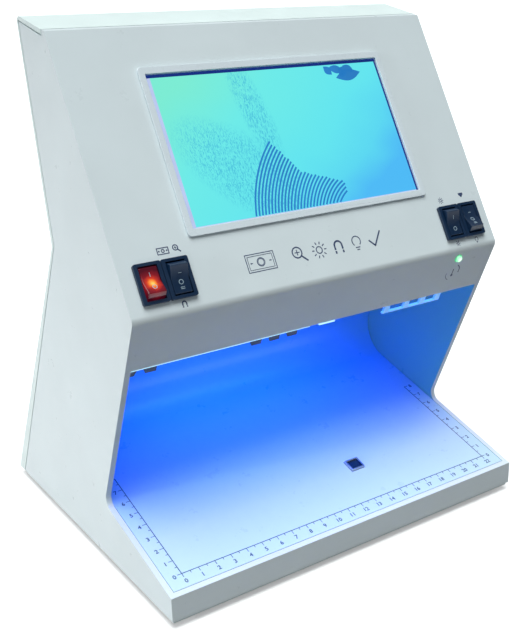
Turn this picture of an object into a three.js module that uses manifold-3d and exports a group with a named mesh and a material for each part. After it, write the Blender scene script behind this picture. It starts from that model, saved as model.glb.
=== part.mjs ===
// Desktop counterfeit bill detector: a K-shaped housing with a tilted screen head,
// an ultraviolet viewing chamber and a ruled deck. Millimetres, +Z up, front faces -Y.
import * as THREE from 'three';
import { mergeVertices } from 'three/addons/utils/BufferGeometryUtils.js';
import Module from 'manifold-3d';

const wasm = await Module();
wasm.setup();

// ---------- driving dimensions ----------
const WIDTH = 246;
const WALL = 3.2;
const GAP = 0.3;
const SEAM_GAP = 0.8;
const FOOT_HEIGHT = 3;
const FOOT_GAP = 0.3;
const BASE_THICKNESS = 1.5;
const COVER_THICKNESS = 2.5;
const DECK_THICKNESS = 3;

// side profile as [y, z]: y from the front lip, z from the underside of the base plate
const LIP_TOP = [0, 15.8];
const THROAT = [74.8, 37.5];
const CHIN = [22, 158.2];
const TOP_FRONT = [99.4, 290];
const TOP_BACK = [135.5, 296.8];
const BACK_KNEE = [117, 176];
const BACK_FOOT = [215, 1.8];
const THROAT_RADIUS = 6;
const CHIN_RADIUS = 5;
const FASCIA_HEIGHT = 32.3;

const SCREEN = { width: 153.4, height: 85, centre: 83.3 };
const BEZEL = { width: 160.6, height: 93, rise: 1.1 };
const SWITCH = { flangeWidth: 14.9, flangeLength: 21, bodyWidth: 12.8, bodyLength: 19.4, centre: 17.45 };
const SWITCH_PITCH = 15.2;
const SWITCH_PAIR_X = 100.2;
const ROCKER_SWING = 13.5;
const LED_AT = [94.1, -6.5];
const HEAD_AT = [27.4, 42.3];

// ---------- worked-out sizes ----------
const HALF = WIDTH / 2;
const INNER = HALF - WALL;
const DEPTH = BACK_FOOT[0];
const SHELL_FLOOR = BASE_THICKNESS + FOOT_GAP;
const DECK_TILT = Math.atan2(THROAT[1] - LIP_TOP[1], THROAT[0] - LIP_TOP[0]);

const model = new THREE.Group();
model.position.set(0, -DEPTH / 2, FOOT_HEIGHT + FOOT_GAP);

// ---------- materials ----------
function material(color, roughness, metalness = 0) {
  return new THREE.MeshStandardMaterial({ color, roughness, metalness });
}
const SHELL_WHITE = material(0xd6e0e4, 0.35);
const COVER_WHITE = material(0xdfeaec, 0.4);
const DECK_WHITE = material(0xeef3f8, 0.3);
const BLACK_PLASTIC = material(0x101722, 0.4);
const RED_LENS = material(0xc21d1d, 0.2);
const SCREEN_GLASS = material(0x46c8ea, 0.1);
const CHROME = material(0xd8dce2, 0.15, 1);
const STEEL = material(0xb4b8bd, 0.3, 1);
const ALUMINIUM = material(0xc8ccd0, 0.35, 1);
const BOARD_GREEN = material(0x1d6a3c, 0.5);
const RUBBER = material(0x1b1b1d, 0.85);
const LAMP_GLASS = material(0x3a4cc8, 0.1);
const LED_GREEN = material(0x66ff88, 0.2);

// ---------- geometry helpers ----------
function solid(geometry) {
  const plain = geometry.clone();
  plain.deleteAttribute('normal');
  plain.deleteAttribute('uv');
  const merged = mergeVertices(plain, 1e-4);
  return new wasm.Manifold(new wasm.Mesh({
    numProp: 3,
    vertProperties: new Float32Array(merged.attributes.position.array),
    triVerts: new Uint32Array(merged.index.array),
  }));
}

function geometryOf(body) {
  const mesh = body.getMesh();
  const geometry = new THREE.BufferGeometry();
  geometry.setAttribute('position', new THREE.BufferAttribute(new Float32Array(mesh.vertProperties), 3));
  geometry.setIndex(new THREE.BufferAttribute(new Uint32Array(mesh.triVerts), 1));
  return geometry;
}

// joins the first list of shapes, then cuts the second list away
function carve(added, removed = []) {
  let body = solid(added[0]);
  for (const shape of added.slice(1)) body = body.add(solid(shape));
  for (const shape of removed) body = body.subtract(solid(shape));
  return geometryOf(body);
}

// a box given by its centre and size
function block(x, y, z, width, depth, height) {
  return new THREE.BoxGeometry(width, depth, height).translate(x, y, z);
}

// a cylinder along Z from z0 to z1
function rod(x, y, z0, z1, radius, sides = 24) {
  const shape = new THREE.CylinderGeometry(radius, radius, z1 - z0, sides);
  return shape.rotateX(Math.PI / 2).translate(x, y, (z0 + z1) / 2);
}

// a body of revolution about Z from [radius, z] pairs
function turned(points, sides = 24) {
  const outline = points.map(([radius, z]) => new THREE.Vector2(radius, z));
  return new THREE.LatheGeometry(outline, sides).rotateX(Math.PI / 2);
}

// turns a corner [y, z] between two neighbours into an arc of the given radius
function arcCorner(before, corner, after, radius, steps = 6) {
  const c = new THREE.Vector2(...corner);
  const a = new THREE.Vector2(...before).sub(c).normalize();
  const b = new THREE.Vector2(...after).sub(c).normalize();
  const half = Math.acos(THREE.MathUtils.clamp(a.dot(b), -1, 1)) / 2;
  const centre = a.clone().add(b).normalize().multiplyScalar(radius / Math.sin(half)).add(c);
  const start = a.clone().multiplyScalar(radius / Math.tan(half)).add(c).sub(centre);
  const end = b.clone().multiplyScalar(radius / Math.tan(half)).add(c).sub(centre);
  const sweep = Math.atan2(start.cross(end), start.dot(end));
  const points = [];
  for (let i = 0; i <= steps; i += 1) {
    const turnedPoint = start.clone().rotateAround(new THREE.Vector2(), (sweep * i) / steps);
    points.push([turnedPoint.x + centre.x, turnedPoint.y + centre.y]);
  }
  return points;
}

// a prism along X from an outline of [y, z] points
function prism(points, x0, x1) {
  const shape = new THREE.Shape(points.map(([y, z]) => new THREE.Vector2(y, z)));
  const geometry = new THREE.ExtrudeGeometry(shape, { depth: x1 - x0, bevelEnabled: false });
  const turn = new THREE.Matrix4().makeBasis(
    new THREE.Vector3(0, 1, 0), new THREE.Vector3(0, 0, 1), new THREE.Vector3(1, 0, 0));
  return geometry.applyMatrix4(turn).translate(x0, 0, 0);
}

// a line of [y, z] points moved to its left-hand side by a distance, with mitred corners
function offsetLine(points, distance) {
  const vectors = points.map((p) => new THREE.Vector2(...p));
  const normals = vectors.slice(1).map((p, i) => {
    const along = p.clone().sub(vectors[i]).normalize();
    return new THREE.Vector2(-along.y, along.x);
  });
  return vectors.map((p, i) => {
    const first = normals[Math.max(i - 1, 0)];
    const second = normals[Math.min(i, normals.length - 1)];
    const middle = first.clone().add(second).normalize();
    const reach = distance / middle.dot(first);
    return [p.x + middle.x * reach, p.y + middle.y * reach];
  });
}

// the placement whose local Y runs from one profile point towards another and local Z points outwards
function slope(from, to, mirrored = false) {
  const along = new THREE.Vector3(0, to[0] - from[0], to[1] - from[1]).normalize();
  const across = new THREE.Vector3(mirrored ? -1 : 1, 0, 0);
  const out = across.clone().cross(along);
  const place = new THREE.Matrix4().makeBasis(across, along, out);
  return place.setPosition(0, from[0], from[1]);
}
const PANEL = slope(CHIN, TOP_FRONT);
const FASCIA = slope(THROAT, CHIN);
FASCIA.setPosition(0, ...CHIN);
const DECK = slope(LIP_TOP, THROAT);
const REAR_LOWER = slope(BACK_FOOT, BACK_KNEE, true);
const REAR_UPPER = slope(BACK_KNEE, TOP_BACK, true);
const UPRIGHT = new THREE.Matrix4();

function add(name, geometry, look, place = UPRIGHT) {
  const mesh = new THREE.Mesh(geometry, look);
  mesh.name = name;
  mesh.applyMatrix4(place);
  model.add(mesh);
  return mesh;
}

const placed = (geometry, place) => geometry.applyMatrix4(place);

// ---------- switches: where each one sits and which end is pressed at rest ----------
const SWITCHES = [
  { name: 'power', x: -SWITCH_PAIR_X - SWITCH_PITCH / 2, pressed: 'top', look: RED_LENS },
  { name: 'magnetic', x: -SWITCH_PAIR_X + SWITCH_PITCH / 2, pressed: 'bottom', look: BLACK_PLASTIC },
  { name: 'infrared', x: SWITCH_PAIR_X - SWITCH_PITCH / 2, pressed: 'bottom', look: BLACK_PLASTIC },
  { name: 'light', x: SWITCH_PAIR_X + SWITCH_PITCH / 2, pressed: 'top', look: BLACK_PLASTIC },
];

// ---------- fastener places ----------
const SCREW_X = HALF - 11;
const COVER_SCREWS = [
  { name: 'top', place: REAR_UPPER, up: 104 },
  { name: 'middle', place: REAR_LOWER, up: 188 },
  { name: 'bottom', place: REAR_LOWER, up: 24 },
];
const FOOT_X = HALF - 20;
const FOOT_Y = [20, 186];
const SIDES = [['left', -1], ['right', 1]];
const ENDS = ['front', 'rear'];
const STAKES = SIDES.flatMap(([, side]) => [-38, 38].map((up) => [side * 87, SCREEN.centre + up]));

// ---------- housing ----------
const TOP_SLOPE = (TOP_BACK[1] - TOP_FRONT[1]) / (TOP_BACK[0] - TOP_FRONT[0]);
const SEAM_FRONT = TOP_FRONT[0] + WALL;
const SEAM_BACK = [TOP_BACK[0] - 3, TOP_BACK[1] - 3.4];
const SEAM_KNEE = [BACK_KNEE[0] - 3.7, BACK_KNEE[1] + 1];
const SEAM_FOOT = [BACK_FOOT[0] - 9.5, SHELL_FLOOR];
const POST_WIDTH = INNER + 0.3 - (SCREW_X - 5);
const POST_X = SCREW_X - 5 + POST_WIDTH / 2;

// height of the top surface, less a depth below it, at a distance y from the lip
const topAt = (y, below = 0) => TOP_FRONT[1] + (y - TOP_FRONT[0]) * TOP_SLOPE - below;

function shellOutline() {
  return [
    [0, SHELL_FLOOR],
    LIP_TOP,
    ...arcCorner(LIP_TOP, THROAT, CHIN, THROAT_RADIUS),
    ...arcCorner(THROAT, CHIN, TOP_FRONT, CHIN_RADIUS),
    TOP_FRONT,
    [SEAM_FRONT, topAt(SEAM_FRONT)],
    [SEAM_FRONT, topAt(SEAM_FRONT, COVER_THICKNESS + SEAM_GAP)],
    SEAM_BACK,
    SEAM_KNEE,
    SEAM_FOOT,
  ];
}

// everything behind the lip, fascia and front panel, open at the back, top and bottom
function shellHollow() {
  const down = new THREE.Vector2(THROAT[0] - CHIN[0], THROAT[1] - CHIN[1]).setLength(FASCIA_HEIGHT);
  const brow = [CHIN[0] + down.x, CHIN[1] + down.y];
  const inside = offsetLine([brow, CHIN, TOP_FRONT], -WALL);
  const far = DEPTH * 2;
  return [
    [WALL, -far],
    [WALL, THROAT[0]],
    brow,
    ...inside,
    [inside[2][0] + far / 2, inside[2][1] + far],
    [far, far],
    [far, -far],
  ];
}

function frontShell() {
  const added = [];
  const removed = [];
  for (const [, side] of SIDES) {
    for (const { place, up } of COVER_SCREWS) {
      added.push(placed(block(side * POST_X, up, -9, POST_WIDTH, 10, 12), place));
      removed.push(placed(rod(side * SCREW_X, up, -16, 5, 1.7, 12), place));
    }
    for (const y of FOOT_Y) {
      added.push(block(side * (POST_X - 5), y, SHELL_FLOOR + 4.5, POST_WIDTH + 10, 12, 9));
      removed.push(rod(side * FOOT_X, y, -5, 20, 1.7, 12));
    }
    added.push(placed(block(side * (INNER - 1.2), 72, -5, 3, 120, 3), DECK));
  }
  for (const [x, up] of STAKES) {
    added.push(placed(rod(x, up, -9.2, -WALL + 0.5, 3, 16), PANEL));
    added.push(placed(rod(x, up, -12, -9, 1.5, 12), PANEL));
  }
  const window = block(0, SCREEN.centre, 0, SCREEN.width + 3.6, SCREEN.height + 3.6, 12);
  removed.push(placed(window, PANEL));
  for (const { x } of SWITCHES) {
    const hole = block(x, SWITCH.centre, 0, SWITCH.bodyWidth + 0.6, SWITCH.bodyLength + 0.6, 12);
    removed.push(placed(hole, PANEL));
  }
  removed.push(placed(rod(...LED_AT, -10, 5, 2.8), FASCIA));
  const skin = carve([prism(shellOutline(), -HALF, HALF)], [prism(shellHollow(), -INNER, INNER)]);
  return carve([skin, ...added], removed);
}

function coverOutline() {
  const front = SEAM_FRONT + SEAM_GAP;
  return [
    [front, topAt(front, COVER_THICKNESS)],
    [front, topAt(front)],
    ...arcCorner(TOP_FRONT, TOP_BACK, BACK_KNEE, 3),
    ...arcCorner(TOP_BACK, BACK_KNEE, BACK_FOOT, 5),
    BACK_FOOT,
    [SEAM_FOOT[0] + SEAM_GAP, SEAM_FOOT[1]],
    [SEAM_KNEE[0] + SEAM_GAP, SEAM_KNEE[1]],
    [SEAM_BACK[0] + SEAM_GAP, SEAM_BACK[1] + SEAM_GAP],
  ];
}

function coverHollow() {
  const stretch = 0.3;
  const front = new THREE.Vector2(...TOP_BACK).lerp(new THREE.Vector2(...TOP_FRONT), 1 + stretch);
  const foot = new THREE.Vector2(...BACK_KNEE).lerp(new THREE.Vector2(...BACK_FOOT), 1 + stretch);
  const inside = offsetLine([front.toArray(), TOP_BACK, BACK_KNEE, foot.toArray()], -COVER_THICKNESS);
  return [[CHIN[0], inside[0][1]], ...inside, [CHIN[0], inside[3][1]]];
}

const VENT = { count: 13, pitch: 8, width: 2.6 };
const INLET = { x: 55, up: 44, bodyWidth: 27, bodyHeight: 19, screwX: 20 };
const BOARD_POSTS = [[-62, 42], [62, 42], [-62, 98], [62, 98]];

function rearCover() {
  const skin = carve(
    [prism(coverOutline(), -HALF, HALF)],
    [prism(coverHollow(), COVER_THICKNESS - HALF, HALF - COVER_THICKNESS)],
  );
  const posts = BOARD_POSTS.map(([x, up]) => placed(rod(x, up, -8.9, -2, 2.5, 16), REAR_UPPER));
  const removed = [];
  for (let i = 0; i < VENT.count; i += 1) {
    const x = (i - (VENT.count - 1) / 2) * VENT.pitch;
    removed.push(placed(block(x, 146, 0, VENT.width, 26, 12), REAR_LOWER));
  }
  for (const [, side] of SIDES) {
    for (const { place, up } of COVER_SCREWS) {
      removed.push(placed(rod(side * SCREW_X, up, -6, 5, 1.9, 16), place));
    }
    removed.push(placed(rod(INLET.x + side * INLET.screwX, INLET.up, -6, 5, 1.8, 16), REAR_LOWER));
  }
  const socket = block(INLET.x, INLET.up, 0, INLET.bodyWidth + 0.8, INLET.bodyHeight + 0.8, 12);
  removed.push(placed(socket, REAR_LOWER));
  return carve([skin, ...posts], removed);
}

const POWER_BOARD = { x: 55, y: 130, width: 100, depth: 70 };
const BALLAST_BOARD = { x: -62, y: 130, width: 80, depth: 60 };
const BOARD_LEVEL = 8.2;

function cornersOf({ x, y, width, depth }) {
  const inset = 5;
  const reachX = width / 2 - inset;
  const reachY = depth / 2 - inset;
  return [[-1, -1], [1, -1], [-1, 1], [1, 1]].map(([i, j]) => [x + i * reachX, y + j * reachY]);
}

function basePlate() {
  const edge = 1.2;
  const sheet = block(0, DEPTH / 2 - 0.4, BASE_THICKNESS / 2, WIDTH - 2 * edge, DEPTH - 3.2, BASE_THICKNESS);
  const pillars = [...cornersOf(POWER_BOARD), ...cornersOf(BALLAST_BOARD)]
    .map(([x, y]) => rod(x, y, 1, BOARD_LEVEL - 0.3, 2.5, 12));
  const removed = SIDES.flatMap(([, side]) => FOOT_Y.map((y) => rod(side * FOOT_X, y, -2, 5, 1.9, 16)));
  for (let i = 0; i < VENT.count; i += 1) {
    const x = (i - (VENT.count - 1) / 2) * VENT.pitch;
    removed.push(block(x, 60, 0, VENT.width, 36, 10));
  }
  return carve([sheet, ...pillars], removed);
}

add('front_shell', frontShell(), SHELL_WHITE);
add('rear_cover', rearCover(), COVER_WHITE);
add('base_plate', basePlate(), COVER_WHITE);

for (const [sideName, side] of SIDES) {
  FOOT_Y.forEach((y, i) => {
    const foot = turned([[1.9, -FOOT_GAP], [1.9, -1.5], [3.7, -1.5], [3.7, -FOOT_HEIGHT - FOOT_GAP],
      [7.4, -FOOT_HEIGHT - FOOT_GAP], [8, -FOOT_GAP], [1.9, -FOOT_GAP]]);
    add(`foot_${ENDS[i]}_${sideName}`, foot.translate(side * FOOT_X, y, 0), RUBBER);
    const screw = turned([[0, -3], [3.2, -3], [3.2, -1.8], [1.35, -1.8], [1.35, 8], [0, 8]], 16);
    add(`foot_screw_${ENDS[i]}_${sideName}`, screw.translate(side * FOOT_X, y, 0), STEEL);
  });
  for (const { name, place, up } of COVER_SCREWS) {
    const screw = turned([[0, -12], [1.35, -12], [1.35, 0.4], [3.2, 0.4], [3, 1.6], [1.8, 2.2], [0, 2.2]], 16);
    add(`cover_screw_${name}_${sideName}`, screw.translate(-side * SCREW_X, up, 0), STEEL, place);
  }
}

// ---------- viewing chamber ----------
const DECK_START = WALL / Math.cos(DECK_TILT) + GAP;
const COVE_CORNER = [148.9, 59];
const COVE_RADIUS = 22;
const BACK_WALL_TOP = [122.9, 126.5];

// one bent sheet: the deck, a cove, and the back wall that leans forward over it
function deckSheet() {
  const start = [DECK_START * Math.cos(DECK_TILT), LIP_TOP[1] + DECK_START * Math.sin(DECK_TILT)];
  const surface = [start, ...arcCorner(start, COVE_CORNER, BACK_WALL_TOP, COVE_RADIUS, 10), BACK_WALL_TOP];
  const outline = [...surface, ...offsetLine(surface, -DECK_THICKNESS).reverse()];
  const headHole = placed(block(...HEAD_AT, 0, 10.4, 9.6, 20), DECK);
  return carve([prism(outline, GAP - INNER, INNER - GAP)], [headHole]);
}
add('deck_sheet', deckSheet(), DECK_WHITE);

const headCase = carve([block(...HEAD_AT, -3.9, 9.6, 8.8, 10.2)], [block(...HEAD_AT, 0, 7.4, 6.6, 8)]);
add('magnetic_head_case', headCase, CHROME, DECK);
add('magnetic_head_core', block(...HEAD_AT, -1.7, 6.8, 6, 4.2), BLACK_PLASTIC, DECK);

function deckBacklight() {
  const leds = [];
  for (let i = -3; i <= 3; i += 1) {
    for (const s of [72, 93, 114]) leds.push(block(i * 24, s, -8, 4, 4, 1.2));
  }
  return carve([block(0, 93, -9, 170, 64, 1.6), ...leds]);
}
add('deck_backlight', deckBacklight(), BOARD_GREEN, DECK);

// ---------- lamp compartment above the chamber ----------
const REFLECTOR_LINE = [[43.5, 132.5], [45.5, 150], [118, 150], [121, 129.5]];
const REFLECTOR_THICKNESS = 1.2;
const CAMERA_Y = 80;
const LAMPS = [['front', 56], ['rear', 106]];
const LAMP_Z = 140.8;
const TUBE_RADIUS = 8;
const LAMP_END = 106;

function lampReflector() {
  const outline = [...REFLECTOR_LINE, ...offsetLine(REFLECTOR_LINE, REFLECTOR_THICKNESS).reverse()];
  const channel = prism(outline, -INNER + 1.2, INNER - 1.2);
  const pillars = [[-15, -15], [15, -15], [-15, 15], [15, 15]]
    .map(([x, y]) => rod(x, CAMERA_Y + y, 150.5, 159.1, 2, 12));
  return carve([channel, ...pillars], [rod(0, CAMERA_Y, 140, 158, 9, 32)]);
}
add('lamp_reflector', lampReflector(), ALUMINIUM);

function uvLamp() {
  const capStart = LAMP_END - 9;
  const tube = turned([[0, -LAMP_END], [TUBE_RADIUS + 0.2, -LAMP_END], [TUBE_RADIUS + 0.2, -capStart],
    [TUBE_RADIUS, -capStart], [TUBE_RADIUS, capStart], [TUBE_RADIUS + 0.2, capStart],
    [TUBE_RADIUS + 0.2, LAMP_END], [0, LAMP_END]]);
  const pins = [-2.4, 2.4].flatMap((y) => [
    rod(0, y, LAMP_END - 1, LAMP_END + 5, 1.2, 10),
    rod(0, y, -LAMP_END - 5, 1 - LAMP_END, 1.2, 10),
  ]);
  return carve([tube, ...pins]).rotateY(Math.PI / 2);
}
for (const [name, y] of LAMPS) {
  add(`uv_lamp_${name}`, uvLamp().translate(0, y, LAMP_Z), LAMP_GLASS);
}

for (const [name, side] of SIDES) {
  const holder = block(side * (LAMP_END + 6), 81, 141.3, 11, 68, 14.4);
  const sockets = LAMPS.flatMap(([, y]) => [-2.4, 2.4].map((offset) => {
    const socket = rod(0, 0, LAMP_END - 1, LAMP_END + 6, 1.6, 10).rotateY((side * Math.PI) / 2);
    return socket.translate(0, y + offset, LAMP_Z);
  }));
  add(`lamp_holder_${name}`, carve([holder], sockets), COVER_WHITE);
}

// local outline of the toothed shield: trapezoid teeth at these places under a straight strip
const SHIELD = { low: -37.4, high: -16, toothDepth: 4.8 };
const TEETH = [-105, -40, -28, -16];
function shieldOutline() {
  const end = INNER - 0.6;
  const tip = SHIELD.low - SHIELD.toothDepth;
  const points = [[-end, SHIELD.high], [-end, tip], [-end + 5, tip], [-end + 7, SHIELD.low]];
  for (const x of TEETH) {
    points.push([x - 4.6, SHIELD.low], [x - 2.6, tip], [x + 3.6, tip], [x + 3.6, SHIELD.low]);
  }
  return [...points, [end, SHIELD.low], [end, SHIELD.high]];
}

// a flat plate along local Z from an outline of local [x, y] points
function plate(points, z0, z1) {
  const shape = new THREE.Shape(points.map(([x, y]) => new THREE.Vector2(x, y)));
  return new THREE.ExtrudeGeometry(shape, { depth: z1 - z0, bevelEnabled: false }).translate(0, 0, z0);
}

function roundedPlate(x, y, width, height, radius, z0, z1) {
  const w = width / 2 - radius;
  const h = height / 2 - radius;
  const shape = new THREE.Shape();
  shape.absarc(w, h, radius, 0, Math.PI / 2);
  shape.absarc(-w, h, radius, Math.PI / 2, Math.PI);
  shape.absarc(-w, -h, radius, Math.PI, Math.PI * 1.5);
  shape.absarc(w, -h, radius, Math.PI * 1.5, Math.PI * 2);
  const body = new THREE.ExtrudeGeometry(shape, { depth: z1 - z0, bevelEnabled: false, curveSegments: 5 });
  return body.translate(x, y, z0);
}

add('light_shield', plate(shieldOutline(), -6.5, -5.5), BLACK_PLASTIC, FASCIA);

// clear strip whose lit lower edge shows under the fascia, with a short tab beyond its end
function edgeLightLeft() {
  const bar = block(-53.2, -27.4, -4.3, 132.4, 7.2, 1.6);
  const blade = block(-62.7, -33.4, -4.3, 113.4, 6.4, 1.6);
  const tab = block(6.5, -33.8, -4.3, 11, 7.2, 1.6);
  return carve([bar, blade, tab]);
}
add('edge_light_left', edgeLightLeft(), LAMP_GLASS, FASCIA);

// clear comb whose lit lower edge shows under the right-hand teeth
function edgeLightRight() {
  const middle = 72;
  const bar = block(middle, -31, -4.3, 46, 10, 1.6);
  const sill = block(middle, -41.2, -4.3, 46, 0.9, 1.6);
  const risers = [-20, -4.6, 8.4, 21].map((offset) => block(middle + offset, -38.4, -4.3, 4, 5.6, 1.6));
  return carve([bar, sill, ...risers]);
}
add('edge_light_right', edgeLightRight(), LAMP_GLASS, FASCIA);

for (const [name, side] of SIDES) {
  const leds = [-2, -1, 0, 1, 2].map((i) => rod(side * 55 + i * 12, CAMERA_Y, 145.2, 148, 2.5, 12));
  const board = block(side * 55, CAMERA_Y, 148.4, 60, 12, 1.6);
  add(`infrared_led_board_${name}`, carve([board, ...leds]), BOARD_GREEN);
}
add('white_led_strip', block(0, 68.8, 148.4, 176, 6, 1.6), BOARD_GREEN);

const lens = turned([[0, 145.5], [7, 145.5], [7, 149], [6, 149], [6, 156], [8, 156], [8, 159.1], [0, 159.1]]);
add('camera_lens', lens.translate(0, CAMERA_Y, 0), BLACK_PLASTIC);
const cameraChip = block(0, CAMERA_Y, 162, 12, 12, 2.4);
add('camera_board', carve([block(0, CAMERA_Y, 160.2, 38, 38, 1.6), cameraChip]), BOARD_GREEN);

// ---------- display ----------
function displayBezel() {
  const ring = roundedPlate(0, SCREEN.centre, BEZEL.width, BEZEL.height, 2.2, FOOT_GAP, FOOT_GAP + BEZEL.rise);
  const collar = block(0, SCREEN.centre, -1.2, SCREEN.width + 3, SCREEN.height + 3, 3.6);
  return carve([ring, collar], [block(0, SCREEN.centre, 0, SCREEN.width, SCREEN.height, 12)]);
}
add('display_bezel', displayBezel(), COVER_WHITE, PANEL);
const displayLens = block(0, SCREEN.centre, -2.2, SCREEN.width - 0.8, SCREEN.height - 0.8, 4);
const displayPanel = carve([block(0, SCREEN.centre, -6.4, 165, 100, 5.6), displayLens]);
add('display_panel', displayPanel, SCREEN_GLASS, PANEL);

function displayBracket() {
  const sheet = roundedPlate(0, SCREEN.centre, 182, 102, 4, -10.6, -9.5);
  const posts = [[-54, -22], [54, -22], [-54, 22], [54, 22]]
    .map(([x, up]) => rod(x, SCREEN.centre + up, -12.9, -10, 2, 12));
  const holes = STAKES.map(([x, up]) => rod(x, up, -14, -6, 1.8, 16));
  return carve([sheet, ...posts], [block(0, SCREEN.centre, -10, 96, 70, 6), ...holes]);
}
add('display_bracket', displayBracket(), ALUMINIUM, PANEL);

const displayChip = block(-20, SCREEN.centre, -15.6, 20, 20, 2.4);
const displayBoard = carve([block(0, SCREEN.centre, -14, 120, 56, 1.6), displayChip]);
add('display_board', displayBoard, BOARD_GREEN, PANEL);

// flat cable hanging in a half loop between the display board and the main board
function displayRibbon() {
  const thickness = 0.5;
  const radius = 11.9;
  const halfWidth = 9;
  const steps = 12;
  const arc = (r, i) => [-r * Math.cos((Math.PI * i) / steps), -r * Math.sin((Math.PI * i) / steps)];
  const outer = [];
  const inner = [];
  for (let i = 0; i <= steps; i += 1) {
    outer.push(arc(radius, i));
    inner.unshift(arc(radius - thickness, i));
  }
  return prism([...outer, ...inner], -halfWidth, halfWidth).translate(0, 103, 246);
}
add('display_ribbon', displayRibbon(), COVER_WHITE);

// ---------- switches ----------
const FLANGE_TOP = FOOT_GAP + 2;
const PIVOT_HEIGHT = FLANGE_TOP - 3;
const PIN_RADIUS = 1;

function switchHousing() {
  const { flangeWidth, flangeLength, bodyWidth, bodyLength } = SWITCH;
  const flange = roundedPlate(0, 0, flangeWidth, flangeLength, 1, FOOT_GAP, FLANGE_TOP);
  const body = block(0, 0, -6, bodyWidth, bodyLength, 13);
  const tabs = [-6, 0, 6].map((y) => block(0, y, -16, 4.8, 0.8, 8));
  const cavity = block(0, 0, 0, 10.6, 17.8, 13);
  const pinHoles = rod(0, 0, -9, 9, PIN_RADIUS + 0.3, 16).rotateY(Math.PI / 2).translate(0, 0, PIVOT_HEIGHT);
  return carve([flange, body, ...tabs], [cavity, pinHoles]);
}

// rocker seen from the side: a shallow valley on top and end faces that are arcs about the pivot
function rockerOutline() {
  const tip = [7.1, 4.75];
  const valley = tip[1] - tip[0] * Math.tan(THREE.MathUtils.degToRad(ROCKER_SWING));
  const reach = Math.hypot(...tip);
  const high = Math.atan2(tip[1], tip[0]);
  const low = THREE.MathUtils.degToRad(-12);
  const steps = 5;
  const end = [];
  for (let i = 0; i <= steps; i += 1) {
    const angle = high + ((low - high) * i) / steps;
    end.push([reach * Math.cos(angle), reach * Math.sin(angle)]);
  }
  const right = [...end, [3.2, -4.3]];
  const left = right.map(([y, z]) => [-y, z]).reverse();
  return [[0, valley], ...right, ...left];
}

function rocker(pressed) {
  const body = prism(rockerOutline(), -4.9, 4.9);
  const pins = rod(0, 0, -6.2, 6.2, PIN_RADIUS, 16).rotateY(Math.PI / 2);
  const swing = THREE.MathUtils.degToRad(pressed === 'top' ? -ROCKER_SWING : ROCKER_SWING);
  return carve([body, pins]).rotateX(swing).translate(0, 0, PIVOT_HEIGHT);
}

for (const { name, x, pressed, look } of SWITCHES) {
  add(`${name}_switch_housing`, switchHousing().translate(x, SWITCH.centre, 0), BLACK_PLASTIC, PANEL);
  add(`${name}_rocker`, rocker(pressed).translate(x, SWITCH.centre, 0), look, PANEL);
}

const ledDome = turned([[0, -8], [2.9, -8], [2.9, -3.6], [2.5, -3.6], [2.5, 0.2], [1.8, 1.4], [0, 1.9]], 20);
add('status_led', ledDome.translate(...LED_AT, 0), LED_GREEN, FASCIA);

// ---------- electronics ----------
const chips = [block(-20, 72, -12, 20, 20, 3), block(20, 84, -12, 12, 16, 3), block(0, 44, -13, 60, 6, 5)];
const mainBoard = carve([block(0, 70, -10, 140, 66, 1.6), ...chips]);
add('main_board', mainBoard, BOARD_GREEN, REAR_UPPER);
add('buzzer', rod(50, 60, -19, -11.1, 6, 20), BLACK_PLASTIC, REAR_UPPER);

function boardPlate({ x, y, width, depth }) {
  return block(x, y, BOARD_LEVEL + 0.8, width, depth, 1.6);
}
const capacitors = [rod(90, 112, 9, 30, 6, 16), rod(90, 128, 9, 26, 5, 16), rod(76, 150, 9, 24, 4, 16)];
add('power_board', carve([boardPlate(POWER_BOARD), ...capacitors]), BOARD_GREEN);
add('power_transformer', block(36, 130, 22.2, 40, 34, 24), BLACK_PLASTIC);
const chokes = [block(-82, 130, 17, 18, 18, 16), block(-48, 130, 17, 18, 18, 16)];
add('uv_ballast', carve([boardPlate(BALLAST_BOARD), ...chokes]), BOARD_GREEN);

function mainsInlet() {
  const { bodyWidth, bodyHeight, screwX } = INLET;
  const flange = roundedPlate(0, 0, 50, 25, 4, FOOT_GAP, 2.3);
  const body = block(0, 0, -7.5, bodyWidth, bodyHeight, 17);
  const cavity = block(0, 0, -5, 24.4, 16.4, 16);
  const holes = [-screwX, screwX].map((x) => rod(x, 0, -2, 5, 1.8, 16));
  const shroud = carve([flange, body], [cavity, ...holes]);
  const contacts = [[-7, -2], [7, -2], [0, 3]].flatMap(([x, y]) => [
    block(x, y, -8.5, 2, 5, 10),
    block(x, y, -19, 0.8, 5, 9),
  ]);
  return carve([shroud, ...contacts]).translate(INLET.x, INLET.up, 0);
}
add('mains_inlet', mainsInlet(), BLACK_PLASTIC, REAR_LOWER);
for (const [name, side] of SIDES) {
  const screw = turned([[0, -6], [1.4, -6], [1.4, 2.6], [3, 2.6], [2.6, 4], [0, 4.2]], 16);
  add(`inlet_screw_${name}`, screw.translate(INLET.x - side * INLET.screwX, INLET.up, 0), STEEL, REAR_LOWER);
}

const detector = new THREE.Group();
detector.add(model);
export default detector;
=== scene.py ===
"""Looks of a desktop counterfeit bill detector: lit screen, rockers, ruled deck and blue viewing chamber."""

import math

import bmesh
import bpy
from mathutils import Matrix, Vector


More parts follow.
